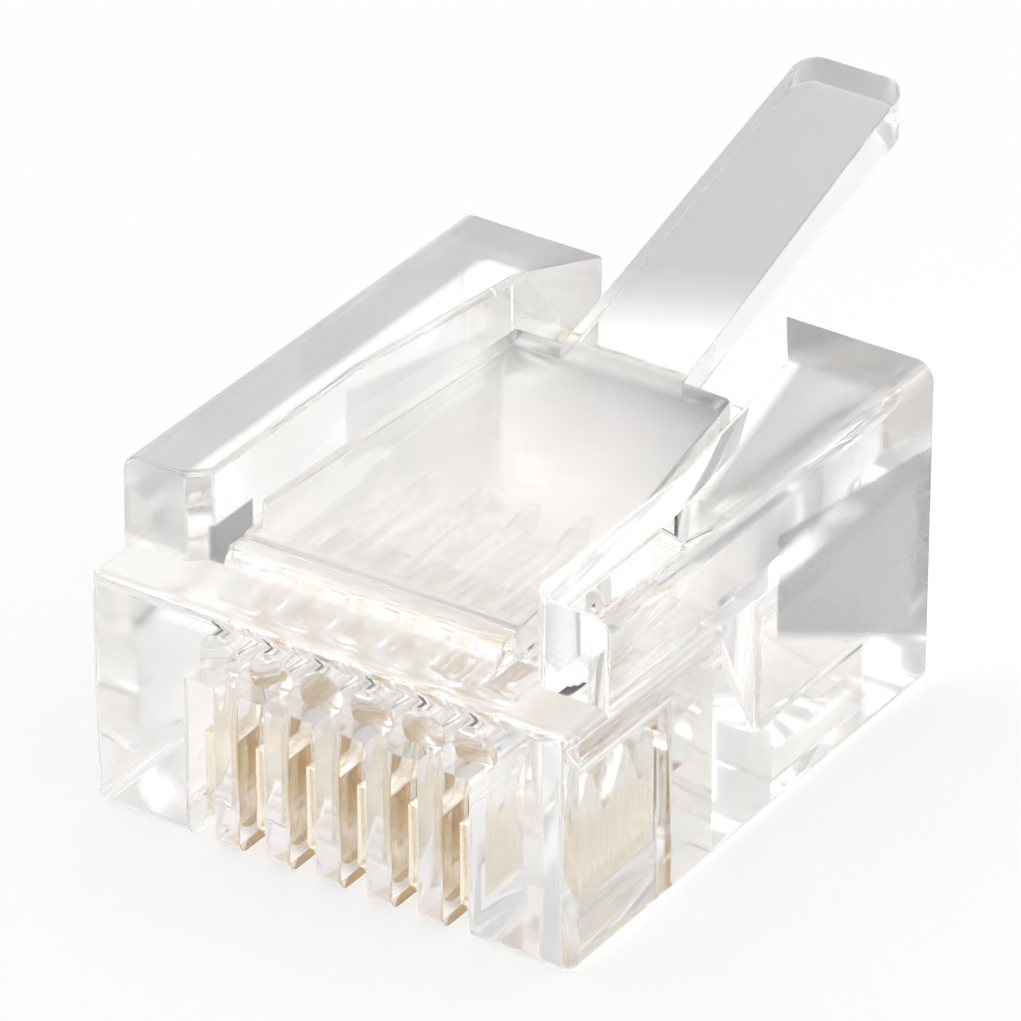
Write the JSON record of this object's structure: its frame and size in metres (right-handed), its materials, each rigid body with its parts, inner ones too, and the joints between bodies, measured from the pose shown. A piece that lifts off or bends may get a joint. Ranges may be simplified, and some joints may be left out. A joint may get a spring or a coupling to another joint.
{
  "type": "six-contact modular plug",
  "caption": "Clear moulded modular plug for flat cord: gold blades in slots in the nose, and a sprung latch lying between two side rails.",
  "frame": {"origin": "middle of the contact side, the face that the plug rests on", "axes": "+X across the plug, +Y from the nose that enters the jack to the cable end, +Z from the contact side up to the latch side"},
  "size_m": [0.0096, 0.0163, 0.0082],
  "materials": {
    "clear_plastic": "clear polycarbonate, polished mould",
    "latch_plastic": "clear polycarbonate, polished mould",
    "contact_gold": "thin gold plating over phosphor bronze"
  },
  "bodies": {
    "root": {"housing": "clear_plastic", "contact_1": "contact_gold", "contact_2": "contact_gold", "contact_3": "contact_gold", "contact_4": "contact_gold", "contact_5": "contact_gold", "contact_6": "contact_gold"},
    "latch": {"latch": "latch_plastic"}
  },
  "joints": [
    {"name": "latch_flex", "type": "hinge", "parent": "root", "child": "latch", "pos_m": [0, -0.0038, 0.00491], "axis": [-1, 0, 0], "range_deg": [0, 6.5], "stiffness_Nm_per_rad": 0.15}
  ]
}
